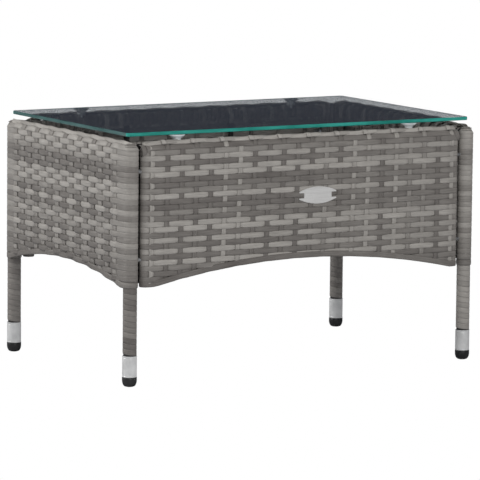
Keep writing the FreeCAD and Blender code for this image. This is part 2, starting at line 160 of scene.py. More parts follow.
class Cane:
    """Strips of cane gathered into one mesh.

    A strip is a closed flat oval carried along a path. At each step the oval stands
    across the path's tangent. Its point k is path + across * width/2 * c + out * thick/2 * s,
    where (c, s) is a superellipse: cos and sin of the k-th angle to the power 2/p.
    """

    SIDES = 8

    def __init__(self, power=2.7):
        angle = (np.arange(self.SIDES) + 0.5) * 2 * PI / self.SIDES
        c, s = np.cos(angle), np.sin(angle)
        self.c = np.sign(c) * np.abs(c) ** (2 / power)
        self.s = np.sign(s) * np.abs(s) ** (2 / power)
        self.points, self.quads, self.caps = [], [], []
        self.uv, self.tone = [], []
        self.count = 0

    def lay(self, path, out, width, thick, tone):
        """Lays strips. path and out are (strips, steps, 3), the rest broadcast to them."""
        path = np.atleast_3d(np.asarray(path, float)).reshape(-1, *path.shape[-2:])
        out = np.broadcast_to(out, path.shape)
        strips, steps, _ = path.shape
        along = unit(np.gradient(path, axis=1))
        across = unit(np.cross(along, out))
        face = np.cross(across, along)
        half_w = np.broadcast_to(width, (strips, steps))[..., None, None] / 2
        half_t = np.broadcast_to(thick, (strips, steps))[..., None, None] / 2
        ring = (path[:, :, None] + across[:, :, None] * half_w * self.c[:, None]
                + face[:, :, None] * half_t * self.s[:, None])
        self.points.append(ring.reshape(-1, 3))
        step = np.linalg.norm(np.diff(path, axis=1), axis=-1)
        run = np.concatenate([np.zeros((strips, 1)), np.cumsum(step, 1)], 1)
        run = run + GRAIN_STEP * (np.arange(strips)[:, None] + len(self.points) * 7)
        u = np.repeat(run[..., None], self.SIDES, -1)
        v = np.broadcast_to(self.c, u.shape)
        self.uv.append(np.stack([u, v], -1).reshape(-1, 2))
        tones = np.broadcast_to(tone, (strips, steps))[..., None]
        self.tone.append(np.repeat(tones, self.SIDES, -1).reshape(-1))
        total = strips * steps * self.SIDES
        index = self.count + np.arange(total).reshape(strips, steps, self.SIDES)
        after = np.roll(index, -1, axis=2)
        quads = np.stack([index[:, :-1], index[:, 1:], after[:, 1:], after[:, :-1]], -1)
        self.quads.append(quads.reshape(-1, 4))
        self.caps.append(index[:, 0])
        self.caps.append(index[:, -1, ::-1])
        self.count += total

    def piece(self, name, material):
        """All the strips laid so far, as one piece of the table's body."""
        return mesh_piece(name, np.concatenate(self.points),
                          [np.concatenate(self.quads), np.concatenate(self.caps)],
                          material, BASE, np.concatenate(self.uv),
                          np.concatenate(self.tone))


def mesh_piece(name, points, faces, material, body, uv=None, tone=None,
               slots_of_faces=None, smooth=True):
    """A piece from points in millimetres and lists of equal-sided faces."""
    mesh = bpy.data.meshes.new(name)
    corners = np.concatenate([f.reshape(-1) for f in faces]).astype(np.int32)
    totals = np.concatenate([np.full(len(f), f.shape[1]) for f in faces]).astype(np.int32)
    starts = np.concatenate([[0], np.cumsum(totals)[:-1]]).astype(np.int32)
    mesh.vertices.add(len(points))
    mesh.vertices.foreach_set("co", (np.asarray(points) * MM).astype(np.float32).ravel())
    mesh.loops.add(len(corners))
    mesh.loops.foreach_set("vertex_index", corners)
    mesh.polygons.add(len(totals))
    mesh.polygons.foreach_set("loop_start", starts)
    mesh.polygons.foreach_set("use_smooth", np.full(len(totals), smooth))
    if slots_of_faces is not None:
        mesh.polygons.foreach_set("material_index", slots_of_faces.astype(np.int32))
    if uv is not None:
        layer = mesh.uv_layers.new(name="UVMap")
        layer.data.foreach_set("uv", uv[corners].astype(np.float32).ravel())
    if tone is not None:
        made = mesh.attributes.new("tone", "FLOAT", "POINT")
        made.data.foreach_set("value", np.asarray(tone, np.float32))
    mesh.update(calc_edges=True)
    mesh.validate()
    for m in material if isinstance(material, (list, tuple)) else [material]:
        mesh.materials.append(m)
    thing = bpy.data.objects.new(name, mesh)
    bpy.context.scene.collection.objects.link(thing)
    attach(thing, body)
    return thing


def stacked_faces(layers, around):
    """Quads between stacked outlines of `around` points, and a cap on the first and last."""
    index = np.arange(layers * around).reshape(layers, around)
    after = np.roll(index, -1, axis=1)
    quads = np.stack([index[:-1], after[:-1], after[1:], index[1:]], -1).reshape(-1, 4)
    return [quads, np.stack([index[0, ::-1], index[-1]])]


def turned(x, y, profile, around):
    """A profile turned about the upright line through (x, y).

    A profile point (r, z) becomes (x + r cos a, y + r sin a, z) for each angle a. The
    profile runs round anticlockwise in (r, z) and closes on itself.
    """
    profile = np.asarray(profile, float)
    angle = np.arange(around) * 2 * PI / around
    points = np.stack([
        x + np.cos(angle)[:, None] * profile[:, 0],
        y + np.sin(angle)[:, None] * profile[:, 0],
        np.broadcast_to(profile[:, 1], (around, len(profile))),
    ], -1).reshape(-1, 3)
    index = np.arange(len(points)).reshape(around, len(profile))
    beside = np.roll(index, -1, axis=0)
    up, up_beside = np.roll(index, -1, axis=1), np.roll(beside, -1, axis=1)
    return points, np.stack([index, beside, up_beside, up], -1).reshape(-1, 4)


def rounded(corners, radius, steps=4):
    """A closed profile with each corner replaced by a quadratic curve.

    The curve runs from radius before the corner to radius after it: (1-t)^2 a + 2t(1-t) c
    + t^2 b.
    """
    c = np.asarray(corners, float)
    before, after = np.roll(c, 1, axis=0) - c, np.roll(c, -1, axis=0) - c
    reach_a = np.minimum(radius, np.linalg.norm(before, axis=1) * 0.45)[:, None]
    reach_b = np.minimum(radius, np.linalg.norm(after, axis=1) * 0.45)[:, None]
    a, b = c + unit(before) * reach_a, c + unit(after) * reach_b
    t = np.linspace(0, 1, steps)[None, :, None]
    curve = (1 - t) ** 2 * a[:, None] + 2 * t * (1 - t) * c[:, None] + t * t * b[:, None]
    return curve.reshape(-1, 2)


# ---- materials


class Nodes:
    """A node tree being made."""

    def __init__(self, tree):
        self.tree = tree

    def node(self, kind, links=None, **settings):
        """A node of that kind. links maps an input to a socket or a plain value."""
        made = self.tree.nodes.new(kind)
        for key, value in settings.items():
            setattr(made, key, value)
        for key, value in (links or {}).items():
            if isinstance(value, bpy.types.NodeSocket):
                self.tree.links.new(value, made.inputs[key])
            else:
                made.inputs[key].default_value = value
        return made

    def maths(self, operation, a, b=0.0, clamp=False):
        return self.node("ShaderNodeMath", {0: a, 1: b}, operation=operation,
                         use_clamp=clamp).outputs[0]

    def mix(self, fac, a, b, blend="MIX"):
        """Two colours mixed: a where fac is 0, b where it is 1."""
        return self.node("ShaderNodeMix", {0: fac, 6: a, 7: b}, data_type="RGBA",
                         blend_type=blend).outputs[2]

    def between(self, fac, a, b):
        """Two numbers mixed: a where fac is 0, b where it is 1."""
        return self.node("ShaderNodeMix", {0: fac, 2: a, 3: b}).outputs[0]

    def span(self, value, a, b, c, d):
        """value moved from the span a..b to c..d, and held inside it."""
        return self.node("ShaderNodeMapRange", {0: value, 1: a, 2: b, 3: c, 4: d}).outputs[0]

    def join(self, socket, target):
        self.tree.links.new(socket, target)


class Shader(Nodes):
    """A material being made: a Principled shader with the nodes that feed it."""

    def __init__(self, name):
        self.material = bpy.data.materials.new(name)
        self.material.use_nodes = True
        super().__init__(self.material.node_tree)
        self.main = self.tree.nodes["Principled BSDF"]

    def set(self, **values):
        for key, value in values.items():
            self.main.inputs[key.replace("_", " ")].default_value = value
        return self

    def noise(self, where, scale, detail=2.0, stretch=(1, 1, 1)):
        spot = self.node("ShaderNodeMapping", {"Vector": where, "Scale": stretch})
        return self.node("ShaderNodeTexNoise", {"Vector": spot.outputs[0], "Scale": scale,
                                                "Detail": detail}).outputs["Fac"]

    def shades(self, value, a, b, dark, pale):
        """Base colour: dark where value is a or less, pale where it is b or more."""
        self.feed("Base Color", self.mix(self.span(value, a, b, 0, 1), (*dark, 1),
                                         (*pale, 1)))

    def feed(self, name, socket):
        self.join(socket, self.main.inputs[name])

    def bump(self, height, strength, distance):
        made = self.node("ShaderNodeBump", {"Height": height, "Strength": strength,
                                            "Distance": distance})
        self.feed("Normal", made.outputs[0])

    @property
    def uv(self):
        return self.node("ShaderNodeUVMap", uv_map="UVMap").outputs[0]

    @property
    def place(self):
        return self.node("ShaderNodeTexCoord").outputs["Object"]


def cane_material(name, dark, pale, dull=0.0):
    """Flat extruded cane: a tone for each strip, fine lengthwise grain, and strip edges
    darkened with painted shade.
    """
    s = Shader(name).set(Roughness=0.5, Specular_IOR_Level=0.35)
    uv = s.uv
    tone = s.node("ShaderNodeAttribute", attribute_name="tone").outputs["Fac"]
    grain = s.noise(uv, 1.0, 3.0, (0.035, 4.2, 1))
    fine = s.noise(uv, 1.0, 2.0, (0.12, 11.0, 1))
    drift = s.noise(uv, 1.0, 1.0, (0.018, 0.2, 1))
    shade = s.maths("ADD", tone, s.span(drift, 0.3, 0.7, -0.08, 0.08), clamp=True)
    colour = s.mix(shade, (*dark, 1), (*pale, 1))
    streak = s.span(s.maths("ADD", s.maths("MULTIPLY", grain, 0.65),
                            s.maths("MULTIPLY", fine, 0.35)), 0.32, 0.68, 0.76, 1.22)
    side = s.node("ShaderNodeSeparateXYZ", {0: uv}).outputs[1]
    # Over the last 30 % towards each edge the colour fades to 0.84 of itself: painted shade
    # on the strip edges.
    rim = s.span(s.maths("ABSOLUTE", side), 0.70, 1.0, 1.0, 0.84)
    grain_and_painted_edge_shade = s.maths("MULTIPLY", streak, rim)
    grey = s.node("ShaderNodeCombineColor", {0: grain_and_painted_edge_shade, 1: grain_and_painted_edge_shade, 2: grain_and_painted_edge_shade}).outputs[0]
    s.feed("Base Color", s.mix(1.0, colour, grey, "MULTIPLY"))
    s.feed("Roughness", s.span(grain, 0.3, 0.7, 0.42 + dull, 0.60 + dull))
    s.bump(streak, 0.35, 0.0003)
    return s.material


def coat_material(name, colour, rough, bumps, strength):
    """Powder coat or moulded plastic: an even colour with a fine uneven skin."""
    s = Shader(name).set(Roughness=rough)
    place = s.place
    skin = s.noise(place, bumps, 3.0)
    cloud = s.noise(place, 35.0, 2.0)
    light = tuple(min(1.0, c * 1.22 + 0.006) for c in colour)
    s.shades(cloud, 0.3, 0.7, colour, light)
    s.feed("Roughness", s.span(skin, 0.3, 0.7, rough - 0.07, rough + 0.09))
    s.bump(skin, strength, 0.0002)
    return s.material


def zinc_material(name, colour, rough):
    """Zinc plate: a fine grain in colour and polish, with faint smudges."""
    s = Shader(name).set(Metallic=1.0, Roughness=rough)
    place = s.place
    grain = s.noise(place, 400.0, 3.0)
    smudge = s.noise(place, 60.0, 2.0)
    s.shades(grain, 0.3, 0.7, tuple(c * 0.80 for c in colour), colour)
    s.feed("Roughness", s.maths("ADD", s.span(grain, 0.3, 0.7, rough - 0.06, rough + 0.08),
                                s.span(smudge, 0.35, 0.65, -0.04, 0.05)))
    s.bump(grain, 0.12, 0.0001)
    return s.material


def plate_material(name):
    """Pale satin plate: fine brushed lines across a nearly white metal."""
    s = Shader(name).set(Metallic=0.25, Roughness=0.4)
    lines = s.noise(s.place, 900.0, 3.0, (0.03, 1, 1))
    s.shades(lines, 0.3, 0.7, (0.72, 0.71, 0.69), (0.86, 0.85, 0.83))
    s.feed("Roughness", s.span(lines, 0.3, 0.7, 0.32, 0.48))
    s.bump(lines, 0.08, 0.0001)
    return s.material


def sleeve_material(name):
    """Satin aluminium sleeve: pale, with turned rings and soft smudges."""
    s = Shader(name).set(Metallic=0.2, Roughness=0.38)
    place = s.place
    rings = s.noise(place, 700.0, 2.0, (0.02, 0.02, 1))
    smudge = s.noise(place, 70.0, 2.0)
    s.shades(smudge, 0.35, 0.65, (0.70, 0.70, 0.69), (0.83, 0.83, 0.82))
    s.feed("Roughness", s.span(rings, 0.3, 0.7, 0.30, 0.46))
    s.bump(rings, 0.10, 0.0001)
    return s.material


def glass_material(name, tint):
    """Clear float glass with the faintest film on it."""
    s = Shader(name).set(Roughness=0.0, IOR=1.5, Transmission_Weight=1.0,
                         Base_Color=(*tint, 1))
    film = s.noise(s.place, 9.0, 3.0)
    s.shades(film, 0.45, 0.75, tint, tuple(c * 0.985 for c in tint))
    return s.material


def cup_material(name):
    """Milky plastic: a little light passes, and the skin is soft and uneven."""
    s = Shader(name).set(Roughness=0.2, IOR=1.45, Transmission_Weight=0.12, Coat_Weight=0.5)
    skin = s.noise(s.place, 180.0, 2.0)
    s.shades(skin, 0.35, 0.65, (0.88, 0.94, 0.95), (0.97, 1.0, 1.0))
    s.feed("Roughness", s.span(skin, 0.3, 0.7, 0.14, 0.30))
    return s.material


def edge_material(name, deep, bright):
    """The polished edge of the sheet: green, with bright and deep runs along it and painted
    glints.
    """
    s = Shader(name).set(Roughness=0.12, IOR=1.5, Coat_Weight=0.6)
    place = s.place
    runs = s.noise(place, 14.0, 3.0, (1, 1, 4))
    # Short bright streaks added to the colour: painted glints; the same noise also sets the
    # roughness.
    painted_glint = s.noise(place, 60.0, 2.0, (1, 1, 9))
    blend = s.maths("ADD", s.span(runs, 0.35, 0.65, 0, 0.7), s.span(painted_glint, 0.5, 0.7, 0, 0.3))
    s.feed("Base Color", s.mix(blend, (*deep, 1), (*bright, 1)))
    s.feed("Roughness", s.span(painted_glint, 0.3, 0.7, 0.08, 0.2))
    return s.material


# ---- settings


def colour_prop(name, words, default):
    """A colour that the sidebar shows as a swatch."""
    return FloatVectorProperty(name=name, description=words, default=default,
                               subtype="COLOR", size=3, min=0, max=1)


def length_prop(name, words, default):
    """A length in millimetres."""
    return FloatProperty(name=name, description=words, default=default * MM, unit="LENGTH",
                         precision=5)


class CaneSettings(bpy.types.PropertyGroup):
    dark: colour_prop("Dark cane", "Colour of the darkest strips", (0.134, 0.120, 0.110))
    pale: colour_prop("Pale cane", "Colour of the palest strips", (0.460, 0.435, 0.400))
    row_pitch: length_prop("Row pitch", "From one row to the next", 7.8)
    strip_width: length_prop("Edge strip", "Width of the row along each arch", 8.9)
    strip_thick: length_prop("Strip thickness", "Of a long panel's rows", 1.5)
    rows: IntProperty(name="Rows", description="Rows of a long panel above its edge row",
                      default=25)


class GlassSettings(bpy.types.PropertyGroup):
    tint: colour_prop("Tint", "Tint of the clear glass", (0.95, 0.985, 1.0))
    edge_deep: colour_prop("Deep edge", "Darkest green in the edge", (0.012, 0.225, 0.180))
    edge_bright: colour_prop("Bright edge", "Brightest green in the edge",
                             (0.050, 0.450, 0.375))
    bevel: length_prop("Ground edge", "Width of the ground edge", 0.6)


class StudioSettings(bpy.types.PropertyGroup):
    azimuth: FloatProperty(name="Azimuth", description="Camera's turn from +Y towards +X",
                           default=np.radians(30.05), unit="ROTATION")
    elevation: FloatProperty(name="Elevation", description="Camera's look downwards",
                             default=np.radians(7.41), unit="ROTATION")
    roll: FloatProperty(name="Roll", description="Camera's roll",
                        default=np.radians(0.58), unit="ROTATION")
    spot: FloatVectorProperty(name="Camera", description="Where the camera stands",
                              default=(-3.059, -5.292, 0.967), subtype="TRANSLATION")
    lens: FloatProperty(name="Lens", description="Focal length", default=312.5,
                        unit="CAMERA")
    sky: FloatProperty(name="Soft light", description="Light from all round", default=0.46)
    mirror: FloatProperty(name="Mirrored room",
                          description="How bright the room looks in the glass",
                          default=0.045)
    key: FloatProperty(name="Key light", description="Power of the large soft light",
                       default=60.0, subtype="POWER")


# ---- the woven fields


class Field:
    """One woven side of the skirt, seen flat: t runs along it and z up.

    place(t, z, lift) gives points and outward directions. The field is straight for
    |t| <= straight, then turns round an upright bar of radius `round_r`. Above the rail's
    middle it bends back over the rail. lift is the height above the field's middle face,
    which stands flat_out before the frame's middle. The stakes are `pitch` apart and
    lean sideways by `lean` of their drop. In a tight weave the rows lie nearly flat.
    """

    END_EASE = 14    # the field eases from flat_out to round_r over its last stretch

    def __init__(self, to_world, straight, flat_out, round_r, stakes, pitch, low_z, crest,
                 rod_out, lean=0.0, tight=False):
        self.to_world, self.straight, self.flat_out = to_world, straight, flat_out
        self.round_r, self.rod_out, self.low_z = round_r, rod_out, low_z
        self.stakes, self.pitch, self.lean, self.tight = stakes, pitch, lean, tight
        self.z_at, self.t_at = arch_line(straight - STILE_R, low_z, crest)

    def shift(self, t, z):
        """How far the stakes lean: lean * drop, less towards both ends."""
        fade = 1 - 0.85 * np.clip(np.abs(t) / self.straight, 0, 1) ** 3
        return -self.lean * (RAIL_Z - z) * fade

    def reach(self, t):
        """How far out the field's middle face is: flat_out, easing to round_r."""
        return self.flat_out + (self.round_r - self.flat_out) * ease(
            self.straight - self.END_EASE, self.straight, np.abs(t))

    def place(self, t, z, lift):
        t, z, lift = np.broadcast_arrays(*[np.asarray(a, float) for a in (t, z, lift)])
        way = np.sign(t)
        over = np.maximum(np.abs(t) - self.straight, 0)
        turn = over / self.round_r
        bend = np.clip((z - RAIL_Z) / self.flat_out, 0, PI)
        radius = self.reach(t) + lift
        flat = radius * np.cos(bend)
        along = np.clip(t, -self.straight, self.straight) + way * flat * np.sin(turn)
        out = flat * np.cos(turn)
        up = np.where(z > RAIL_Z, RAIL_Z + radius * np.sin(bend), z)
        normal = np.stack([way * np.cos(bend) * np.sin(turn),
                           np.cos(bend) * np.cos(turn), np.sin(bend)], -1)
        return self.to_world(np.stack([along, out, up], -1)), self.to_world(normal, True)


def side_to_world(axis, way, distance):
    """Maps (along, out, up) to x, y, z for a side that faces way * axis."""

    def to_world(p, is_direction=False):
        along, out, up = p[..., 0], p[..., 1], p[..., 2]
        far = way * (out if is_direction else out + distance)
        if axis == "y":
            return np.stack([along, far, up], -1)
        return np.stack([far, along, up], -1)

    return to_world


def over_under(field, t, z, row):
    """1 where a row is over a stake, -1 where it is under: c = -cos(pi (t/pitch + n)).

    In a tight weave the row stays out and dives only beside the stake: 1 - 2 ease(c).
    """
    spot = (t - field.shift(t, z)) / field.pitch + (field.stakes - 1) / 2
    last = (field.stakes - 1) / 2 * field.pitch
    c = -np.cos(PI * (spot + row))
    if field.tight:
        c = 1 - 2 * ease(-0.2, -0.95, c)
    return c * (1 - turned_away(last, field.pitch, t))


def lay_rows(cane, field, heights, tones, width, thick, wave, wrap, per_stake):
    """Every row: z wanders a little, lift = wave * over_under, cut where the arch is.

    A row narrows where it dives under a stake, and lies flat and wide where it turns
    round the upright. A row that meets the arch is cut in two and tucks its end behind
    the edge row.
    """
    over_arch, tuck_length, tuck_depth = 5.6, 9.0, 2.2
    taper = 0.07 if field.tight else 0.12
    full = field.straight + wrap
    last = (field.stakes - 1) / 2 * field.pitch
    for row, (z, tone) in enumerate(zip(heights, tones), start=1):
        foot = z - over_arch
        cut = float(field.t_at(foot)) if foot < field.z_at(0.0) else 0.0
        spans = [(-full, full)] if cut == 0 else [(-full, -cut), (cut, full)]
        for a, b in spans:
            steps = int(max(14, (b - a) / field.pitch * per_stake))
            t = np.linspace(a, b, steps)
            zz = z + wander(t, row * 1.7 + field.low_z, 0.16)
            lift = wave * over_under(field, t, z, row)
            tuck = np.zeros_like(t)
            if cut:
                tuck = 1 - ease(0, tuck_length, np.abs(np.abs(t) - cut))
            path, out = field.place(t, zz, lift - tuck_depth * tuck)
            turning = turned_away(last, field.pitch, t)
            slim = width * (1 - taper * ease(0.1, 1.0, -lift / wave) + 0.03 * turning)
            soft = tone(t) + (0.45 - tone(t)) * 0.4 * turning
            cane.lay(path[None], out[None], slim, thick * (1 - 0.3 * turning), soft)


def lay_edge_row(cane, field, tone, width, thick, wave, wrap):
    """The row that follows the arch, z = arch + half a strip, level where it turns.

    On the panel it stands proud of the other rows, to cover their cut ends.
    """
    proud, per_stake = 0.7, 6
    full = field.straight + wrap
    steps = int(2 * full / field.pitch * per_stake)
    t = np.linspace(-full, full, steps)
    z = field.z_at(t) + width / 2 - 0.3
    on_panel = 1 - ease(field.straight - 12, field.straight + 6, np.abs(t))
    lift = wave * over_under(field, t, z, 0) + proud * on_panel
    path, out = field.place(t, z, lift)
    cane.lay(path[None], out[None], width, thick, tone(t))


def lay_stakes(cane, field, first_z, pitch, tones, width, thick, wave):
    """Every stake: round the rail from inside, down the field, and round the arched rod.

    Down the field its lift is wave * cos(pi (row + stake)), against the rows. Its tail
    hangs inside below the rail, and its foot ends inside above the rod.
    """
    tail, inner, play = 12.0, 13.0, 1.1
    for n in range(field.stakes):
        t0 = (n - (field.stakes - 1) / 2) * field.pitch
        reach = float(field.reach(t0))
        loop_r = reach - field.rod_out
        foot = float(field.z_at(max(abs(t0) - width / 2, 0.0))) + loop_r + play
        over = reach + 0.5
        angle = np.linspace(PI, 0.35, 16)
        down = np.arange(RAIL_Z, foot, -pitch / 4)
        under = np.linspace(0, -PI, 9)[1:]
        row = (first_z - down) / pitch + 1
        lift = wave * np.cos(PI * (row + n))
        out = np.concatenate([
            np.full(3, -over), over * np.cos(angle), reach + lift,
            field.rod_out + loop_r * np.cos(under), np.full(4, field.rod_out - loop_r),
        ])
        up = np.concatenate([
            np.linspace(RAIL_Z - tail, RAIL_Z - 2, 3), RAIL_Z + over * np.sin(angle), down,
            foot + loop_r * np.sin(under), foot + np.linspace(inner / 4, inner, 4),
        ])
        t = t0 + field.shift(t0, up) * (up < RAIL_Z)
        path = np.stack([t, out, up], -1)
        along = np.gradient(path, axis=0)
        facing = np.stack([np.zeros_like(t), -along[:, 2], along[:, 1]], -1)
        cane.lay(field.to_world(path)[None], field.to_world(unit(facing), True)[None],
                 width, thick, tones[n])


def lay_rail_wrap(cane, to_world, half, radius, pitch, width, thick, seed):
    """Cane wound round a rail: a helix of `pitch` and `radius` along the rail."""
    turns = 2 * half / pitch
    a = np.linspace(0, turns * 2 * PI, int(turns * 12))
    t = -half + a / (2 * PI) * pitch
    path = np.stack([t, radius * np.sin(a), RAIL_Z + radius * np.cos(a)], -1)
    out = np.stack([np.zeros_like(a), np.sin(a), np.cos(a)], -1)
    tone = 0.18 + 0.12 * chance(int(turns) + 2, seed)[(a / (2 * PI)).astype(int)]
    cane.lay(to_world(path)[None], to_world(out, True)[None], width, thick, tone)


RIM_WIDTH = 6.6
RIM_THICK = 1.5
RIM_CURL = 16.0    # the length over which the edging curls in at its ends


def lay_rim(cane, to_world, half, pitch, phase, tones, corner):
    """The edging: two strips twisted round each other along the top edge.

    Strand n is at out = 4.6 + 2.2 cos(a), up = 11.5 + 0.7 sin(a), with
    a = pi t / pitch + phase + n pi. Over the last stretch both curve inwards and down
    by corner * share^2 and 3 * share^2.
    """
    t = np.linspace(-half, half, int(2 * half / pitch * 24))
    share = np.clip((np.abs(t) - half + RIM_CURL) / RIM_CURL, 0, 1)
    for strand, tone in enumerate(tones):
        a = PI * t / pitch + phase + PI * strand
        path = np.stack([t, 4.6 + 2.2 * np.cos(a) - corner * share ** 2,
                         RAIL_Z + 11.5 + 0.7 * np.sin(a) - 3 * share ** 2], -1)
        tilt = 0.75 - 0.35 * np.cos(a)
        facing = np.stack([np.sign(t) * 0.8 * share, np.cos(tilt), np.sin(tilt)], -1)
        cane.lay(to_world(path)[None], to_world(unit(facing), True)[None], RIM_WIDTH,
                 RIM_THICK, tone + wander(t * 0.6, phase + strand, 0.14))


def lay_stitches(cane, to_world, count, pitch, shift):
    """Short strips over the edging: out = 4.4 + 5.2 cos b, up = 11.3 + 3.5 sin b."""
    b = np.linspace(-0.6, 2.4, 10)
    t0 = (np.arange(count) - (count - 1) / 2) * pitch + shift
    path = np.stack(np.broadcast_arrays(
        t0[:, None], 4.4 + 5.2 * np.cos(b), RAIL_Z + 11.3 + 3.5 * np.sin(b)), -1)
    facing = np.stack([0 * b, np.cos(b), np.sin(b)], -1)
    cane.lay(to_world(path), to_world(facing, True)[None], 8.5, 1.2, 1.0)


def lay_backing(cane, field, offsets, out, top, width, tones):
    """Upright strips behind the gap between the panel and each leg, side by side.

    Strip n stands at t = straight + offsets[n] at each end, `out` from the panel's middle,
    and reaches from above the arch's foot to `top` over the rail's middle.
    """
    steps = 20
    up = np.linspace(SKIRT_LOW + 4, RAIL_Z + top, steps)
    outward = field.to_world(np.array([0.0, 1.0, 0.0]), True)
    for way in (-1, 1):
        for offset, tone in zip(offsets, tones):
            along = np.full(steps, way * (field.straight + offset))
            path = np.stack([along, np.full(steps, out), up], -1)
            cane.lay(field.to_world(path)[None], outward, width, 1.1, tone)


# The order in which pale, medium and dark cane was woven in, from the top row or left stake.
PALE_ROWS = (3, 5, 6, 10, 15, 16, 18, 20, 22)
EVEN_ROWS = (6, 16, 22)
MEDIUM_ROWS = (2, 9, 13, 23)
PALE_STAKES = (0, 5, 6, 14, 15, 17, 21)
HALF_STAKES = (12, 18, 19)
END_PALE = (1, 2, 3, 8, 9, 10, 13, 16, 19)
END_SOFT = (4, 11, 15, 17, 21)


def long_tone(row, seed):
    """A row's tone along the panel: pale rows fade to the right, dark ones lighten."""
    own = 0.10 * (chance(60, seed)[row] - 0.5)
    if row in PALE_ROWS:
        left, right = (0.84, 0.82) if row in EVEN_ROWS else (0.84, 0.72)
    elif row in MEDIUM_ROWS:
        left, right = 0.40, 0.26
    else:
        left, right = 0.16, 0.28

    def tone(t):
        return left + (right - left) * ease(-60, 120, t) + own + wander(t, row, 0.05)

    return tone


def end_tone(row, seed, extra):
    """A row's tone along an end: pale, soft or dark, with extra added to all."""
    own = 0.10 * (chance(60, seed)[row] - 0.5) + extra
    value = 0.84 if row in END_PALE else 0.55 if row in END_SOFT else 0.20

    def tone(t):
        return value + own + wander(t, row + 9, 0.07)

    return tone


LONG_FIELD = dict(straight=STILE_X, flat_out=10.2, round_r=7.8, stakes=22, pitch=23.8,
                  low_z=SKIRT_LOW, crest=LONG_CREST, rod_out=LONG_ROD_OUT, lean=0.035,
                  tight=True)
LONG_ROWS = dict(width=8.7, wave=0.58, wrap=38.0, per_stake=11)
LONG_STAKES = dict(width=8.0, thick=1.2, wave=0.78)
END_FIELD = dict(straight=LEG_Y, flat_out=10.9, round_r=10.4, stakes=15, pitch=22.0,
                 low_z=SKIRT_LOW, crest=END_CREST, rod_out=END_ROD_OUT)
END_ROWS = dict(width=9.4, thick=2.1, wave=1.75, wrap=53.0, per_stake=8)
END_STAKES = dict(width=12.0, thick=1.3, wave=0.6)
END_PITCH = 7.75    # from one row of an end to the next
END_COUNT = 25      # rows of an end above its edge row
RAIL_STRIP = dict(radius=RAIL_R + 0.7, width=7.5, thick=1.2)
# The edging is pale cane; its tones are set to the palest as painted light, for a top edge
# lit from above.
RIM_TONES = (1.0, 0.80)
STITCH_PITCH = 2 * LONG_FIELD["pitch"]


def stake_tone(n):
    """A long panel's stakes: pale, half or dark."""
    return 0.78 if n in PALE_STAKES else 0.5 if n in HALF_STAKES else 0.15


class TABLE_OT_long_panels(bpy.types.Operator):
    """Weaves the two long panels round their hidden frames"""
    bl_idname = "table.long_panels"
    bl_label = "Long panels"

    def execute(self, context):
        cane = context.scene.table_cane
        pitch = cane.row_pitch / MM
        width, thick = cane.strip_width / MM, cane.strip_thick / MM
        look = cane_material("grey_cane", tuple(cane.dark), tuple(cane.pale))
        # A near-black cane for the strip behind each leg gap: painted shadow.
        dark = cane_material("painted_gap_shadow_cane", (0.010, 0.009, 0.009), (0.03, 0.03, 0.03))
        for face, way, seed in (("front", -1, 4), ("rear", 1, 8)):
            field = Field(side_to_world("y", way, LEG_Y), **LONG_FIELD)
            heights = RAIL_Z + 5 - pitch * np.arange(cane.rows)
            rows = Cane()
            tones = [long_tone(k, seed) for k in range(1, cane.rows + 1)]
            lay_rows(rows, field, heights, tones, thick=thick, **LONG_ROWS)
            lay_edge_row(rows, field, long_tone(1, 9), width, thick, wave=0.8, wrap=40.0)
            panel = rows.piece(f"{face}_panel_rows", look)
            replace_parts(panel, f"{face}_weave")
            # A near-black strip behind the gap between panel and leg: painted shadow where
            # the gap lies in shade.
            shadow_strip = Cane()
            lay_backing(shadow_strip, field, (4.5,), out=-9.4, top=9, width=20.0, tones=(0.0,))
            shadow_strip.piece(f"{face}_gap_shadow_strip", dark)
            lining = Cane()
            lay_backing(lining, field, (-3.1, 4.3, 11.7), out=-11.6, top=12, width=7.3,
                        tones=(0.25, 0.5, 0.3))
            lining.piece(f"{face}_gap_lining", look)
            stakes = Cane()
            lay_stakes(stakes, field, heights[0], pitch,
                       [stake_tone(n) for n in range(field.stakes)], **LONG_STAKES)
            stakes.piece(f"{face}_panel_stakes", look)
            rims = Cane()
            lay_rail_wrap(rims, field.to_world, STILE_X + 8, pitch=pitch, seed=31 + way,
                          **RAIL_STRIP)
            lay_rim(rims, field.to_world, STILE_X + 5, STITCH_PITCH, 0.0, RIM_TONES, 5.0)
            lay_stitches(rims, field.to_world, count=11, pitch=STITCH_PITCH, shift=6.0)
            rims.piece(f"{face}_rail_wrap", look)
        return {"FINISHED"}


class TABLE_OT_end_panels(bpy.types.Operator):
    """Weaves the two ends round their legs"""
    bl_idname = "table.end_panels"
    bl_label = "End panels"

    def execute(self, context):
        cane = context.scene.table_cane
        width = cane.strip_width / MM
        look = cane_material("grey_cane_ends", tuple(cane.dark), tuple(cane.pale))
        for side, way, seed, extra in (("left", -1, 14, 0.0), ("right", 1, 18, 0.2)):
            field = Field(side_to_world("x", way, LEG_X), **END_FIELD)
            heights = RAIL_Z + 6 - END_PITCH * np.arange(END_COUNT)
            rows = Cane(power=2.3)
            tones = [end_tone(k, seed, extra) for k in range(1, END_COUNT + 1)]
            lay_rows(rows, field, heights, tones, **END_ROWS)
            lay_edge_row(rows, field, end_tone(24, 19, 0.0), width, 1.6, wave=1.4, wrap=46.0)
            panel = rows.piece(f"{side}_end_rows", look)
            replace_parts(panel, f"{side}_end_weave")
            stakes = Cane()
            lay_stakes(stakes, field, heights[0], END_PITCH,
                       0.30 + 0.30 * chance(field.stakes, 5 + way), **END_STAKES)
            stakes.piece(f"{side}_end_stakes", look)
            rims = Cane()
            lay_rail_wrap(rims, field.to_world, LEG_Y - LEG_R, pitch=7.8, seed=41 + way,
                          **RAIL_STRIP)
            lay_rim(rims, field.to_world, LEG_Y + 5, 2 * field.pitch, 0.6, RIM_TONES, 7.0)
            for end in (-1, 1):
                lay_coil(rims, field, end * LEG_Y)
            rims.piece(f"{side}_end_rail_wrap", look)
        return {"FINISHED"}


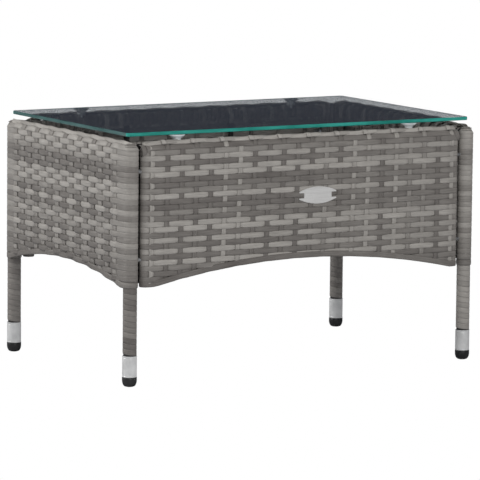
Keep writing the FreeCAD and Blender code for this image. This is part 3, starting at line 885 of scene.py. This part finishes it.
def lay_coil(cane, field, t0):
    """Cane coiled over a leg's top: radius falls with the angle, z follows a dome."""
    outer, inner, turns = 7.8, 2.0, 2.3
    a = np.linspace(0, 2 * PI * turns, 70)
    radius = outer - (outer - inner) * a / a[-1]
    path = np.stack([t0 + radius * np.cos(a), radius * np.sin(a),
                     RAIL_Z + 11.5 - (radius / outer) ** 2 * 2.6], -1)
    cane.lay(field.to_world(path)[None], (0, 0, 1.0), 3.9, 1.4, 0.45)


# ---- legs


LEG_SPOTS = {
    "left_front": (-LEG_X, -LEG_Y), "right_front": (LEG_X, -LEG_Y),
    "left_rear": (-LEG_X, LEG_Y), "right_rear": (LEG_X, LEG_Y),
}
LEG_PITCH = 7.9    # of the cane wound on a leg
LEG_TONES = {"left_front": 0.20, "right_front": 0.72, "left_rear": 0.28, "right_rear": 0.30}


class TABLE_OT_legs(bpy.types.Operator):
    """Winds cane down the legs as a helix and adds their bright sleeves and domed feet"""
    bl_idname = "table.legs"
    bl_label = "Legs"

    def execute(self, context):
        cane = context.scene.table_cane
        look = cane_material("grey_cane_legs", tuple(cane.dark), tuple(cane.pale), 0.03)
        metal = sleeve_material("satin_sleeve")
        rubber = coat_material("black_foot", (0.018, 0.018, 0.018), 0.42, 900.0, 0.15)
        for number, (leg, (x, y)) in enumerate(LEG_SPOTS.items()):
            wrap = Cane()
            turns = (SKIRT_LOW + 2 - SLEEVE_TOP) / LEG_PITCH
            a = np.linspace(0, turns * 2 * PI, int(turns * 26))
            z = SLEEVE_TOP + 3.4 + a / (2 * PI) * LEG_PITCH
            ring = np.stack([np.cos(-a), np.sin(-a), np.zeros_like(a)], -1)
            path = ring * (LEG_R + 0.55) + np.stack([a * 0 + x, a * 0 + y, z], -1)
            each = chance(40, 60 + number)[(a / (2 * PI)).astype(int)]
            wrap.lay(path[None], ring[None], 8.8, 0.95,
                     LEG_TONES[leg] + 0.22 * (each - 0.5))
            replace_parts(wrap.piece(f"{leg}_wound_cane", look), f"{leg}_leg_wrap")
            sleeve(leg, x, y, metal)
            foot(leg, x, y, rubber)
        return {"FINISHED"}


def sleeve(leg, x, y, material):
    """A tube with a rolled bead at both ends and a shallow groove beside each."""
    node = f"{leg}_leg_sleeve"
    a, b, r = low(node)[2], high(node)[2], size(node)[0] / 2
    inside, groove, waist = LEG_R + 0.02, r - 0.35, r - 0.1
    foot_end = [(r, a), (r, a + 1.6), (groove, a + 2.0), (groove, a + 2.6), (waist, a + 3.0)]
    top_end = [(radius, a + b - z) for radius, z in reversed(foot_end)]
    corners = [(inside, a), *foot_end, *top_end, (inside, b)]
    points, faces = turned(x, y, rounded(corners, 0.3), 48)
    thing = mesh_piece(f"{leg}_sleeve", points, [faces], material, BASE)
    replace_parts(thing, f"{leg}_leg_sleeve")


def foot(leg, x, y, material):
    """A domed cap: radius = rim * sqrt(1 - u^2.2) down to the flat pad, and its plug."""
    node = f"{leg}_foot_cap"
    b = low(f"{leg}_leg_sleeve")[2]
    top, rim = high(node)[2], size(node)[0] / 2
    pad, plug = 5.0, 7.7
    u = np.linspace(0, 1, 14)[::-1]
    radius = pad + (rim - pad) * (1 - u ** 2.2) ** 0.5
    dome = np.stack([radius, (1 - u) * (b - 4)], -1)
    rest = [(rim, b - 0.8), (rim - 0.5, b - 0.05), (plug, b - 0.05), (plug, top - 0.8),
            (plug - 0.8, top), (0.02, top), (0.02, 0.0)]
    points, faces = turned(x, y, np.concatenate([dome, rest]), 48)
    thing = mesh_piece(f"{leg}_foot", points, [faces], material, BASE)
    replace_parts(thing, f"{leg}_foot_cap")


# ---- glass and cups


class TABLE_OT_glass(bpy.types.Operator):
    """Lays the loose glass sheet on its four clear cups"""
    bl_idname = "table.glass"
    bl_label = "Glass"

    def execute(self, context):
        look = context.scene.table_glass
        clear = glass_material("clear_glass", tuple(look.tint))
        edge = edge_material("green_glass_edge", tuple(look.edge_deep),
                             tuple(look.edge_bright))
        points, faces, kinds = sheet(look.bevel / MM)
        # The two end edges get a darker copy of the green edge: painted shade.
        painted_shade_end_edge = edge_material("green_glass_painted_shade_end_edge", (0.028, 0.085, 0.080),
                                 (0.100, 0.200, 0.190))
        slab = mesh_piece("glass_sheet", points, faces, [clear, edge, painted_shade_end_edge], "glass",
                          slots_of_faces=kinds, smooth=False)
        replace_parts(slab, "glass_top")
        soft = cup_material("clear_soft_plastic")
        for face in ("front", "rear"):
            for side in ("left", "right"):
                cup(f"{face}_{side}", soft)
        return {"FINISHED"}


def sheet(bevel, steps=7):
    """The sheet: a rectangle with round corners, drawn in rings.

    Ring j has the corner centres fixed and the radius r_j, at the height z_j: two faces,
    two narrow ground edges and the polished edge between them.
    """
    half, middle = size("glass_top")[:2] / 2, centre("glass_top")[:2]
    r, inner = 5.0, 2.0
    a, b = low("glass_top")[2], high("glass_top")[2]
    rings = [(inner, a), (r - bevel, a), (r, a + bevel), (r, b - bevel), (r - bevel, b),
             (inner, b)]
    turn = (np.linspace(0, PI / 2, steps)[None] + PI / 2 * np.arange(4)[:, None]).ravel()
    sx = np.repeat([1, -1, -1, 1], steps) * (half[0] - r)
    sy = np.repeat([1, 1, -1, -1], steps) * (half[1] - r)
    points = np.concatenate([
        np.stack([middle[0] + sx + q * np.cos(turn), middle[1] + sy + q * np.sin(turn),
                  np.full_like(turn, z)], -1) for q, z in rings])
    n = len(turn)
    # Slot 2, the darker edge copy that is painted shade, goes on the two end edges.
    edge_kind = 1 + (np.arange(n) % (2 * steps) == 2 * steps - 1)
    kinds = [np.zeros(n, int), *[edge_kind] * 3, np.zeros(n, int), [0, 0]]
    return points, stacked_faces(len(rings), n), np.concatenate(kinds)


def cup(where, material):
    """A clear cup: a short peg, a waist, a flared lip with a rolled rim and a dish."""
    node = f"{where}_cup"
    x, y, _ = centre(node)
    peg, base, top, r = low(node)[2], RAIL_Z + 11.0, high(node)[2], size(node)[0] / 2
    corners = [(0.02, peg), (2.4, peg), (2.4, base), (6.4, base),
               (6.6, base + 1.6), (5.6, base + 3.2), (6.8, base + 5.4), (r - 0.4, top - 1.6),
               (r, top - 1.0), (r - 0.2, top - 0.1), (r - 1.6, top - 0.05),
               (4.0, top - 0.6), (0.02, top - 0.8)]
    points, faces = turned(x, y, rounded(corners, 0.6, 3), 40)
    thing = mesh_piece(f"{where}_clear_cup", points, [faces], material, BASE)
    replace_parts(thing, node)


# ---- badge


class TABLE_OT_badge(bpy.types.Operator):
    """Pins the blank oval plate to the front"""
    bl_idname = "table.badge"
    bl_label = "Badge"

    def execute(self, context):
        metal = plate_material("satin_plate")
        spot, face = centre("badge"), low("badge")[1] - 1.0
        outline = plate_outline(size("badge")[0] / 2, size("badge")[2] / 2)
        layers = [(outline, 1.6), (outline, 0.35), (outline * 0.985, 0.0)]
        n = len(outline)
        points = np.concatenate([
            np.stack([spot[0] + p[:, 0], np.full(n, face + deep), spot[2] + p[:, 1]], -1)
            for p, deep in layers])
        thing = mesh_piece("blank_badge", points, stacked_faces(len(layers), n), metal,
                           BASE, smooth=False)
        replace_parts(thing, "badge")
        return {"FINISHED"}


def plate_outline(half_x, half_z, steps=25):
    """A blunt oval with a square notch in both ends, anticlockwise from the front.

    The top and bottom edges are z = half_z (1 - 0.56 (x / half_x)^2), up or down. Each
    notch is 7.6 high and cut 8 in.
    """
    x = np.linspace(half_x, -half_x, steps)
    top = np.stack([x, half_z * (1 - 0.56 * (x / half_x) ** 2)], -1)
    notch = np.array([(-half_x + 0.4, 3.8), (-half_x + 8, 3.8),
                      (-half_x + 8, -3.8), (-half_x + 0.4, -3.8)])
    return np.concatenate([top, notch, -top, -notch])


# ---- frame and stage


class TABLE_OT_frame_finish(bpy.types.Operator):
    """Gives the steel frame and its fasteners their finishes"""
    bl_idname = "table.frame_finish"
    bl_label = "Frame finish"

    def execute(self, context):
        coat = coat_material("dark_powder_coat", (0.030, 0.028, 0.027), 0.55, 600.0, 0.25)
        zinc = zinc_material("zinc_plate", (0.62, 0.62, 0.60), 0.38)
        finish = {"frame_steel": coat, "bolt_steel": zinc}
        for part in frame["record"]["subparts"]:
            if part["material_slot"] in finish:
                mesh = frame["nodes"][part["node"]].data
                mesh.materials.clear()
                mesh.materials.append(finish[part["material_slot"]])
        return {"FINISHED"}


class TABLE_OT_stage(bpy.types.Operator):
    """Sets the pale floor, the soft studio light and the camera"""
    bl_idname = "table.stage"
    bl_label = "Stage"

    def execute(self, context):
        scene = context.scene
        studio = scene.table_studio
        scene.view_settings.view_transform = "Standard"
        scene.view_settings.look = "None"
        lay_floor(scene)
        light_room(scene, studio)
        place_camera(scene, studio)
        return {"FINISHED"}


FLOOR_HALF = 30.0
FLOOR_GREY = (0.62, 0.63, 0.66, 1)
BLUISH = (0.82, 0.92, 1.2, 1)
LAMP_AIM = (0, 0, 0.22)
LAMPS = {    # name: (place, width of the square lamp, share of the key light's power)
    "key": ((-3.1, 1.5, 1.9), 1.4, 1.0),
    "front": ((-0.8, -3.4, 1.8), 2.0, 0.75),
}


def lay_floor(scene):
    """A wide pale floor: plain white to look at, and grey for the light that it throws up."""
    h = FLOOR_HALF
    mesh = bpy.data.meshes.new("floor")
    mesh.from_pydata([(-h, -h, 0), (h, -h, 0), (h, h, 0), (-h, h, 0)], [], [(0, 1, 2, 3)])
    floor = bpy.data.objects.new("floor", mesh)
    scene.collection.objects.link(floor)
    material = bpy.data.materials.new("pale_floor")
    material.use_nodes = True
    nodes = Nodes(material.node_tree)
    nodes.tree.nodes.clear()
    end = nodes.node("ShaderNodeOutputMaterial")
    matt = nodes.node("ShaderNodeBsdfDiffuse", {"Color": FLOOR_GREY}).outputs[0]
    white = nodes.node("ShaderNodeEmission").outputs[0]
    rays = nodes.node("ShaderNodeLightPath").outputs
    seen = nodes.node("ShaderNodeMixShader", {0: seen_straight(nodes, rays), 1: matt,
                                              2: white}).outputs[0]
    nodes.join(seen, end.inputs[0])
    mesh.materials.append(material)


def seen_straight(nodes, rays):
    """1 for what the camera sees, straight or through glass, and 0 for light that falls.

    A ray mirrored an even number of times, as inside the sheet, still goes straight on.
    """
    odd = nodes.maths("PINGPONG", rays["Glossy Depth"], 1.0)
    bounces = nodes.maths("ADD", rays["Diffuse Depth"], odd)
    return nodes.maths("LESS_THAN", bounces, 0.5)


def light_room(scene, studio):
    """Soft light from the sides, less from above, a dark room in the glass, and lamps."""
    world = bpy.data.worlds.new("studio")
    scene.world = world
    world.use_nodes = True
    nodes = Nodes(world.node_tree)
    back = nodes.tree.nodes["Background"]
    rays = nodes.node("ShaderNodeLightPath").outputs
    mirrored = rays["Glossy Depth"]
    nodes.join(nodes.mix(mirrored, (1, 1, 1, 1), BLUISH), back.inputs[0])
    where = nodes.node("ShaderNodeTexCoord").outputs["Generated"]
    height = nodes.node("ShaderNodeSeparateXYZ", {0: where}).outputs[2]
    fall = nodes.span(height, 0.15, 0.75, studio.sky, studio.sky * 0.7)
    room = nodes.between(mirrored, fall, studio.mirror)
    nodes.join(nodes.between(seen_straight(nodes, rays), room, 1.0), back.inputs[1])
    for name, (spot, width, share) in LAMPS.items():
        lamp = bpy.data.lights.new(name, "AREA")
        lamp.size = width
        lamp.energy = studio.key * share
        thing = bpy.data.objects.new(name, lamp)
        scene.collection.objects.link(thing)
        thing.location = spot
        thing.visible_transmission = False
        aim = Vector(LAMP_AIM) - Vector(spot)
        thing.rotation_euler = aim.to_track_quat("-Z", "Y").to_euler()


def place_camera(scene, studio):
    """A long lens: forward = (sin a cos e, cos a cos e, -sin e), rolled about itself."""
    a, e, r = studio.azimuth, studio.elevation, studio.roll
    ahead = Vector((np.sin(a) * np.cos(e), np.cos(a) * np.cos(e), -np.sin(e)))
    right = Vector((np.cos(a), -np.sin(a), 0))
    up = right.cross(ahead)
    across = right * np.cos(r) + up * np.sin(r)
    above = up * np.cos(r) - right * np.sin(r)
    turn = Matrix((across, above, -ahead)).transposed().to_4x4()
    lens = bpy.data.cameras.new("camera")
    lens.lens = studio.lens
    lens.sensor_width = 36.0
    lens.clip_end = 200.0
    camera = bpy.data.objects.new("camera", lens)
    scene.collection.objects.link(camera)
    camera.matrix_world = Matrix.Translation(Vector(studio.spot)) @ turn
    scene.camera = camera


# ---- panel and main


class TABLE_PT_panel(bpy.types.Panel):
    """Lists the steps that weave and dress the table"""
    bl_idname = "TABLE_PT_panel"
    bl_label = "Wicker coffee table"
    bl_space_type = "VIEW_3D"
    bl_region_type = "UI"
    bl_category = "Table"

    def draw(self, context):
        for step in STEPS:
            self.layout.operator(step.bl_idname)
        for name in SETTINGS:
            box = self.layout.box()
            group = getattr(context.scene, name)
            for prop in SETTINGS[name].__annotations__:
                box.prop(group, prop)


STEPS = (TABLE_OT_long_panels, TABLE_OT_end_panels, TABLE_OT_legs, TABLE_OT_glass,
         TABLE_OT_badge, TABLE_OT_frame_finish, TABLE_OT_stage)
SETTINGS = {"table_cane": CaneSettings, "table_glass": GlassSettings,
            "table_studio": StudioSettings}


def register():
    for group in (*SETTINGS.values(), *STEPS, TABLE_PT_panel):
        bpy.utils.register_class(group)
    for name, group in SETTINGS.items():
        setattr(bpy.types.Scene, name, PointerProperty(type=group))


def unregister():
    for name in SETTINGS:
        delattr(bpy.types.Scene, name)
    for group in reversed((*SETTINGS.values(), *STEPS, TABLE_PT_panel)):
        bpy.utils.unregister_class(group)


def main():
    register()
    for step in STEPS:
        group, name = step.bl_idname.split(".")
        getattr(getattr(bpy.ops, group), name)()


if __name__ == "__main__":
    main()
